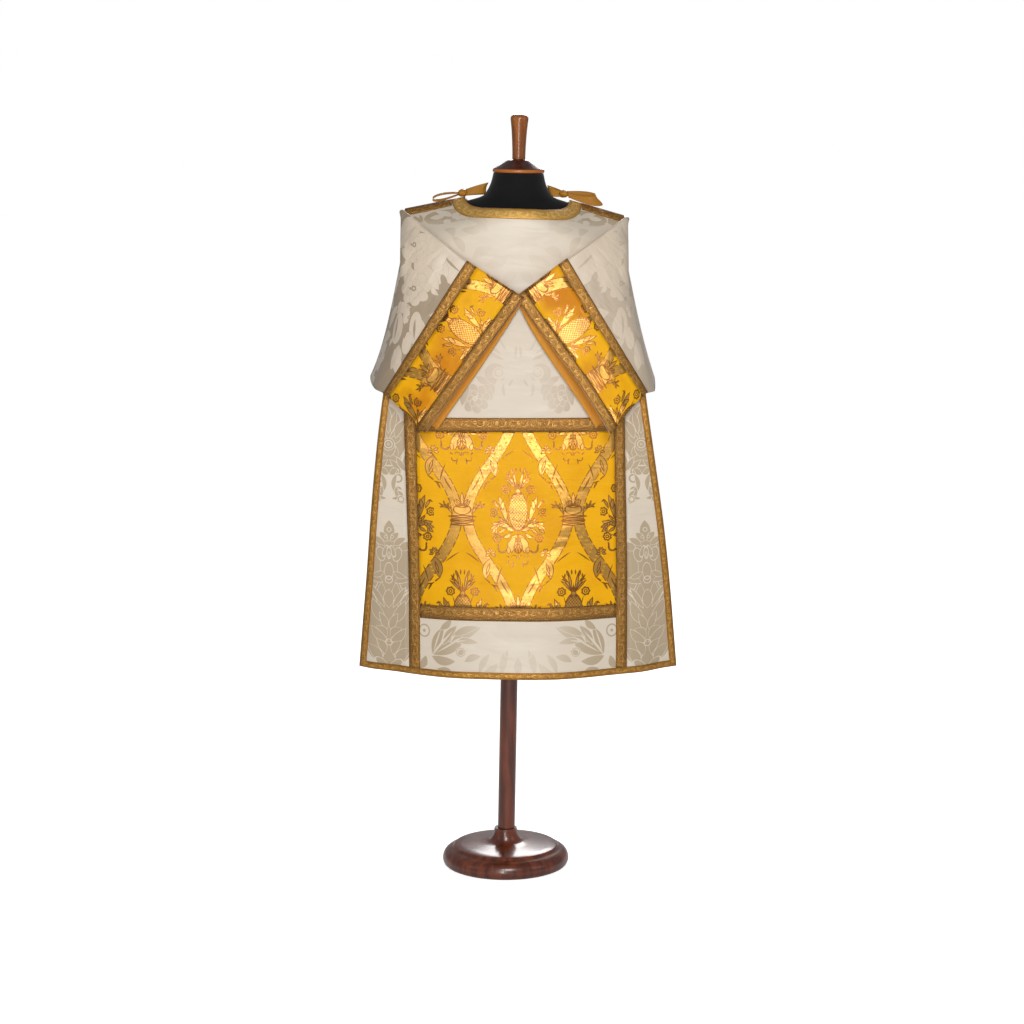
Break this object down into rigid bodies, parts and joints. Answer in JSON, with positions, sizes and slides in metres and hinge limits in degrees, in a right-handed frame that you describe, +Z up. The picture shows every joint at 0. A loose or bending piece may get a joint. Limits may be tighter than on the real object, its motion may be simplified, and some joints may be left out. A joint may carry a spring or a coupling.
{
  "type": "tunicle on a dress form",
  "caption": "Roman tunicle with square open sleeves, brocade apparels and galloon edging, shown on a limbless dress form with a round base.",
  "frame": {"origin": "middle of the round base's underside", "axes": "+Z up, the wearer faces -Y, the wearer's right side is at -X"},
  "size_m": [0.701, 0.3591, 1.6653],
  "materials": {
    "damask": "silk damask, satin sheen",
    "brocade": "gold brocade, metallic thread",
    "galloon": "woven metallic braid",
    "ribbon": "satin ribbon",
    "lining": "satin",
    "jersey": "matt black jersey",
    "wood": "dark varnish",
    "wood_light": "varnish"
  },
  "bodies": {
    "root": {"front_panel": "damask", "front_gore_right": "damask", "front_gore_left": "damask", "front_apparel": "brocade", "front_apparel_galloon_top": "galloon", "front_apparel_galloon_low": "galloon", "front_border_galloon": "galloon", "front_neck_galloon": "galloon", "front_band_galloon_right": "galloon", "front_band_galloon_left": "galloon", "front_shoulder_galloon_right": "galloon", "front_shoulder_galloon_left": "galloon", "back_panel": "damask", "back_gore_right": "damask", "back_gore_left": "damask", "back_apparel": "brocade", "back_apparel_galloon_top": "galloon", "back_apparel_galloon_low": "galloon", "back_border_galloon": "galloon", "back_neck_galloon": "galloon", "back_band_galloon_right": "galloon", "back_band_galloon_left": "galloon", "back_shoulder_galloon_right": "galloon", "back_shoulder_galloon_left": "galloon", "sleeve_right": "damask", "sleeve_lining_right": "lining", "cuff_right": "brocade", "cuff_galloon_seam_right": "galloon", "cuff_galloon_edge_right": "galloon", "bow_right_knot": "ribbon", "bow_right_loop_outer": "ribbon", "bow_right_loop_inner": "ribbon", "sleeve_left": "damask", "sleeve_lining_left": "lining", "cuff_left": "brocade", "cuff_galloon_seam_left": "galloon", "cuff_galloon_edge_left": "galloon", "bow_left_knot": "ribbon", "bow_left_loop_outer": "ribbon", "bow_left_loop_inner": "ribbon", "form_torso": "jersey", "form_cap": "wood", "form_base": "wood", "form_pole": "wood", "form_finial": "wood_light"}
  },
  "joints": []
}
